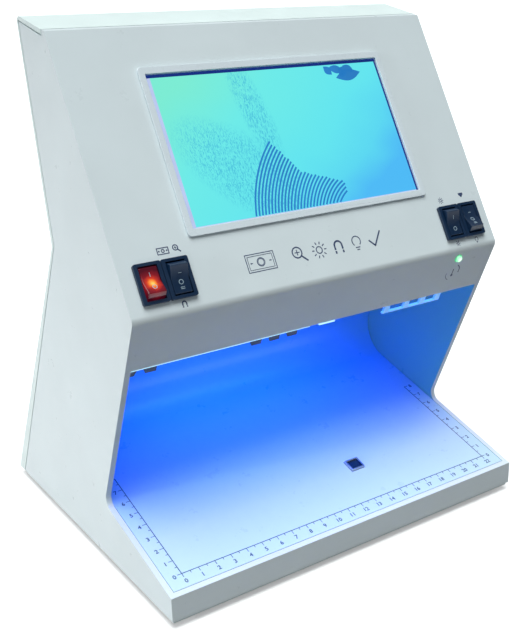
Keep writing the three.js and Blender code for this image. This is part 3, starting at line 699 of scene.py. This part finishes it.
def screen_glass(mesh, uv):
    """The raised glass: the picture in the middle; pale strips left and below are a painted highlight and
    dark strips right and above a painted shade, for the lit and shaded inner walls of the bezel.
    """
    half_width, half_height, depth = SCREEN_WIDTH / 2 - 0.1, SCREEN_HEIGHT / 2 - 0.1, 3.9
    columns = [-half_width, -half_width + 2.6, half_width - 1.2, half_width]
    rows = [SCREEN_UP - half_height, SCREEN_UP - half_height + 0.7, SCREEN_UP + half_height - 1.7,
            SCREEN_UP + half_height]
    verts = [[mesh.verts.new((x, y, GLASS_FRONT - depth)) for x in columns] for y in rows]
    faces = []
    for row in range(3):
        for column in range(3):
            face = mesh.faces.new([verts[row][column], verts[row][column + 1],
                                   verts[row + 1][column + 1], verts[row + 1][column]])
            painted_shade = row == 2 or column == 2
            face.material_index = SHADE_PAINTED_EDGE if painted_shade else HIGHLIGHT_PAINTED_EDGE
            if (row, column) == (1, 1):
                face.material_index = PICTURE
                for loop, place in zip(face.loops, ((0, 0), (1, 0), (1, 1), (0, 1))):
                    loop[uv].uv = place
            faces.append(face)
    raised = bmesh.ops.extrude_face_region(mesh, geom=faces)
    moved = [v for v in raised["geom"] if isinstance(v, bmesh.types.BMVert)]
    bmesh.ops.translate(mesh, verts=moved, vec=(0, 0, depth))
    mesh.normal_update()
    # The glass's side faces also take the painted shade.
    for face in mesh.faces:
        if abs(face.normal.z) < 0.5 and face.calc_center_median().z > GLASS_FRONT - depth:
            face.material_index = SHADE_PAINTED_EDGE


def display_panel():
    """The display: a rounded metal can with the lit picture on the front, bordered by painted shade (dark)
    and painted highlight (pale) strips.
    """
    picture = picture_material()
    # Painted shade and highlight: the dark navy glow and the pale lavender glow stand in for the shaded and
    # lit inner walls of the bezel.
    painted_shade = glowing("screen_painted_shade_edge", (0.002, 0.008, 0.05), (0.004, 0.03, 0.28), 0.7)
    painted_highlight = glowing("screen_painted_highlight_edge", (0.05, 0.06, 0.10), (0.54, 0.63, 0.92), 0.9)
    mesh = bmesh.new()
    middle, thickness = -6.6, 5.2
    bmesh.ops.create_cube(mesh, size=1.0)
    for vert in mesh.verts:
        vert.co = Vector((vert.co.x * 165, SCREEN_UP + vert.co.y * 100, middle + vert.co.z * thickness))
    bmesh.ops.bevel(mesh, geom=list(mesh.edges), offset=0.8, segments=2, affect="EDGES", profile=0.5)
    for face in mesh.faces:
        face.material_index = CAN
    screen_glass(mesh, mesh.loops.layers.uv.new("picture"))
    data = bpy.data.meshes.new("display_panel_lit")
    mesh.to_mesh(data)
    mesh.free()
    data.transform(PANEL)
    piece = new_piece("display_panel_lit", data, [picture, painted_shade, painted_highlight, BLACK])
    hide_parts("display_panel")
    return piece


def screen_bands():
    """Fans of curved bands of the engraving, and leaves at the upper right."""
    blue = glowing("screen_band_blue", (0.01, 0.05, 0.1), (0.018, 0.21, 0.60), 0.9)
    bands = Print("screen_bands", PANEL, blue, 0.04, GLASS_FRONT + 0.01)
    floor_up = SCREEN_UP - SCREEN_HEIGHT / 2 + 1.0
    centre_x, below = 38.0, 16.0
    for i in range(27):
        radius = 25.0 + 2.0 * i
        start = 180 - math.degrees(math.asin(below / radius))
        end = start
        while under_fold(centre_x, below, radius, end - 1):
            end -= 1
        if end < start:
            bands.ring(centre_x, floor_up - below, radius, 1.05, end, start, 12)
    leaves = [(53.5, 33.6, 19.0, 7.0, 8), (39.8, 37.2, 7.0, 5.0, 130), (46.0, 37.6, 11.0, 5.2, -12),
              (55.0, 37.6, 8.0, 4.6, -30), (50.0, 35.8, 8.0, 6.0, 60)]
    for x, up, length, width, turn in leaves:
        leaf(bands, x, SCREEN_UP + up, length, width, math.radians(turn))
    return bands.done()


def under_fold(centre_x, below, radius, angle):
    """True while a point of a band is under the fold line that ends the bands on two slopes."""
    x = centre_x + radius * math.cos(math.radians(angle))
    height = radius * math.sin(math.radians(angle)) - below
    fold_up, right_end = 21, 26
    slope = 1.36 if x < 0 else 0.35
    return height < fold_up - slope * x and x < right_end


def leaf(ink, x, y, length, width, turn, steps=10):
    """A pointed leaf whose outline is two sine curves."""
    points = []
    for i in range(2 * steps):
        t = i / steps if i <= steps else 2 - i / steps
        way = 1 if i <= steps else -1
        along, across = (t - 0.5) * length, way * width / 2 * math.sin(math.pi * t)
        points.append((x + along * math.cos(turn) - across * math.sin(turn),
                       y + along * math.sin(turn) + across * math.cos(turn)))
    ink.outline(points)


# ---------- scene ----------
def floor_material():
    material, tree, shader = new_material("pale_floor")
    cloud = object_noise(tree, 1.5, 2.0)
    shade = ramp(tree, cloud.outputs["Fac"], (0.3, (0.93, 0.93, 0.93)), (0.7, (0.96, 0.96, 0.96)))
    tree.links.new(shade, shader.inputs["Base Color"])
    tree.links.new(shade, shader.inputs["Emission Color"])
    shader.inputs["Emission Strength"].default_value = 0.3
    shader.inputs["Roughness"].default_value = 0.9
    return material


def build_floor():
    mesh = bpy.data.meshes.new("floor")
    size = 60.0
    corners = [(-size, -size, 0), (size, -size, 0), (size, size, 0), (-size, size, 0)]
    mesh.from_pydata(corners, [], [(0, 1, 2, 3)])
    mesh.materials.append(floor_material())
    floor = bpy.data.objects.new("floor", mesh)
    floor.visible_diffuse = False
    bpy.context.scene.collection.objects.link(floor)


def add_light(name, light, place, target):
    lamp = bpy.data.objects.new(name, light)
    lamp.location = place
    lamp.rotation_euler = (Vector(target) - Vector(place)).to_track_quat("-Z", "Y").to_euler()
    lamp.visible_camera = False
    bpy.context.scene.collection.objects.link(lamp)


def strip_light(name, place, target, width, height, power, colour, spread):
    light = bpy.data.lights.new(name, "AREA")
    light.shape = "RECTANGLE"
    light.size, light.size_y = width, height
    light.energy = power
    light.color = colour
    light.spread = math.radians(spread)
    add_light(name, light, place, target)


def chamber_light(name, place, target, *shape):
    """A strip light whose place and target are design points in millimetres."""
    strip_light(name, row_point(*place), row_point(*target), *shape)


def soft_sun(name, place, strength, spread, colour=(1, 1, 1)):
    light = bpy.data.lights.new(name, "SUN")
    light.energy = strength
    light.angle = math.radians(spread)
    light.color = colour
    add_light(name, light, place, (0, 0, 0.15))


def build_world():
    """Soft studio surroundings: brightest overhead and on the left."""
    world = bpy.data.worlds.new("studio")
    world.use_nodes = True
    tree = world.node_tree
    way = put(tree, "ShaderNodeTexCoord").outputs["Generated"]
    side = put(tree, "ShaderNodeVectorMath", [("Vector", way)], operation="DOT_PRODUCT")
    side.inputs[1].default_value = (-0.55, 0.05, 0.83)
    level = put(tree, "ShaderNodeMapRange", [("Value", side.outputs["Value"])], From_Min=-0.6, From_Max=0.8)
    shade = ramp(tree, level.outputs["Result"], (0.1, (0.035, 0.037, 0.042)), (0.9, (0.21, 0.225, 0.235)))
    tree.links.new(shade, tree.nodes["Background"].inputs["Color"])
    bpy.context.scene.world = world


def build_lights():
    build_world()
    soft_sun("overhead_light", (-0.25, -0.25, 2.0), 3.0, 48, (0.97, 1.0, 0.99))
    soft_sun("left_light", (-2.0, 0.05, 0.65), 0.7, 4, DAYLIGHT)
    soft_sun("right_rear_light", (2.0, 0.9, 0.55), 1.0, 40, DAYLIGHT)
    strip_light("side_light", (-0.48, 0.03, 0.06), (0.0, 0.03, 0.07), 0.30, 0.08, 0.20, DAYLIGHT, 150)
    strip_light("front_light", (-0.45, -0.55, 0.05), (0.0, -0.06, 0.12), 0.30, 0.20, 0.36, DAYLIGHT, 150)
    chamber_light("uv_light_front", (0, 58, 131), (0, 62, 0), 0.17, 0.012, 0.026, UV_BLUE, 110)
    chamber_light("uv_light_rear", (0, 104, 131), (0, 118, 0), 0.17, 0.012, 0.090, UV_BLUE, 110)
    chamber_light("wall_glow", (-35, 88, 127), (-35, 118, 108), 0.15, 0.008, 0.012, EDGE_BLUE, 120)
    chamber_light("deck_light", (0, 42, 124), (0, 22, 20), 0.20, 0.008, 0.007, EDGE_BLUE, 120)


def build_camera():
    """Camera at the photograph's viewing angle, about 0.63 m from the screen."""
    camera = bpy.data.cameras.new("camera")
    camera.lens = 56.9
    camera.sensor_width = 36
    camera.shift_x = -0.098
    camera.clip_start = 0.01
    holder = bpy.data.objects.new("camera", camera)
    turn = Matrix.Rotation(math.radians(-36.23), 4, "Z") @ Matrix.Rotation(math.radians(70.78), 4, "X")
    roll = Matrix.Rotation(-0.0075, 4, "Z")
    holder.matrix_world = Matrix.Translation((-0.3157, -0.5001, 0.3218)) @ turn @ roll
    bpy.context.scene.collection.objects.link(holder)
    bpy.context.scene.camera = holder


dress_frame()
deck_ruler()
panel_prints()
panel_emblem()
fascia_sign()
rocker_marks()
display_panel()
screen_bands()
build_floor()
build_lights()
build_camera()
bpy.context.scene.view_settings.view_transform = "Standard"
bpy.context.scene.cycles.use_denoising = True
